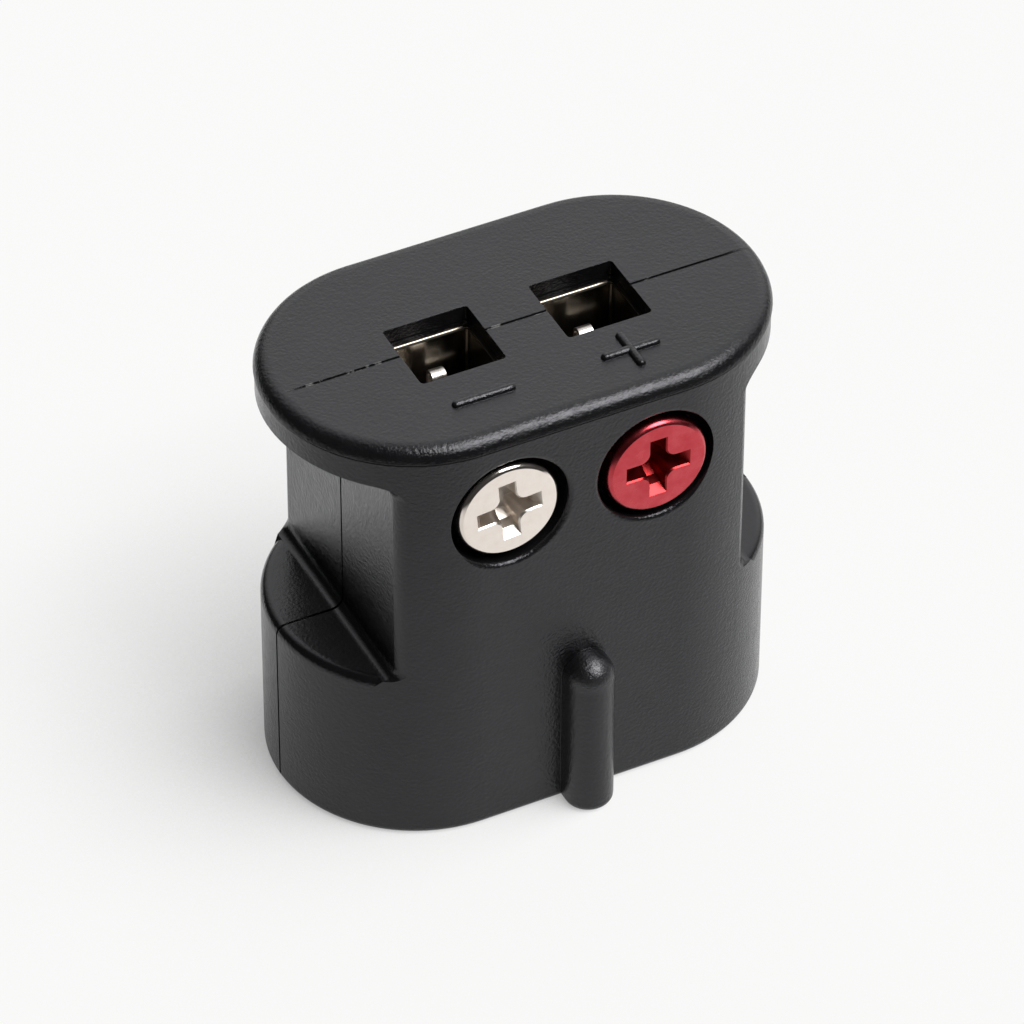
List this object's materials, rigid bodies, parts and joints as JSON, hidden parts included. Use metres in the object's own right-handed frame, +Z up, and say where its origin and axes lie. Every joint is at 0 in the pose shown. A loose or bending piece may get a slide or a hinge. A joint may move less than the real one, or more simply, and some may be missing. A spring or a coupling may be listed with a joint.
{
  "type": "speaker wire adapter",
  "caption": "Black two-pole speaker wire adapter with top wire entries, silver and red clamp screws, polarity marks, a key rib and contact pins in an open skirt.",
  "frame": {"origin": "middle of the open skirt's mouth, on the plane of the base rim", "axes": "+Z up from the skirt to the wire entries, +X along the length from the minus to the plus terminal, -Y to the front with the clamp screws"},
  "size_m": [0.0382, 0.0249, 0.0364],
  "materials": {
    "housing": "fine moulded grain, satin",
    "nickel": "bright nickel plating",
    "red_lacquer": "satin red coating on metal",
    "brass": "plain turned and stamped brass"
  },
  "bodies": {
    "housing": {"front_shell": "housing", "back_shell": "housing", "minus_clamp_nut": "nickel", "minus_terminal_cage": "nickel", "minus_contact_strip": "brass", "minus_contact_pin": "brass", "plus_clamp_nut": "nickel", "plus_terminal_cage": "nickel", "plus_contact_strip": "brass", "plus_contact_pin": "brass"},
    "minus_leaf": {"minus_wire_leaf": "nickel"},
    "minus_screw": {"minus_clamp_screw": "nickel"},
    "plus_leaf": {"plus_wire_leaf": "nickel"},
    "plus_screw": {"plus_clamp_screw": "red_lacquer"}
  },
  "joints": [
    {"name": "minus_leaf_slide", "type": "slide", "parent": "housing", "child": "minus_leaf", "axis": [0, 1, 0], "range_m": [-0.00273, 0.00098]},
    {"name": "minus_screw_turn", "type": "hinge", "parent": "minus_leaf", "child": "minus_screw", "pos_m": [-0.0057, 0, 0.0288], "axis": [0, 1, 0], "range_deg": [-1404, 504]},
    {"name": "plus_leaf_slide", "type": "slide", "parent": "housing", "child": "plus_leaf", "axis": [0, 1, 0], "range_m": [-0.00234, 0.0014]},
    {"name": "plus_screw_turn", "type": "hinge", "parent": "plus_leaf", "child": "plus_screw", "pos_m": [0.0057, 0, 0.0288], "axis": [0, 1, 0], "range_deg": [-1204, 720]}
  ],
  "couplings": [
    {"joint": "minus_screw_turn", "follows": "minus_leaf_slide", "rad_per_m": 8976},
    {"joint": "plus_screw_turn", "follows": "plus_leaf_slide", "rad_per_m": 8976}
  ]
}
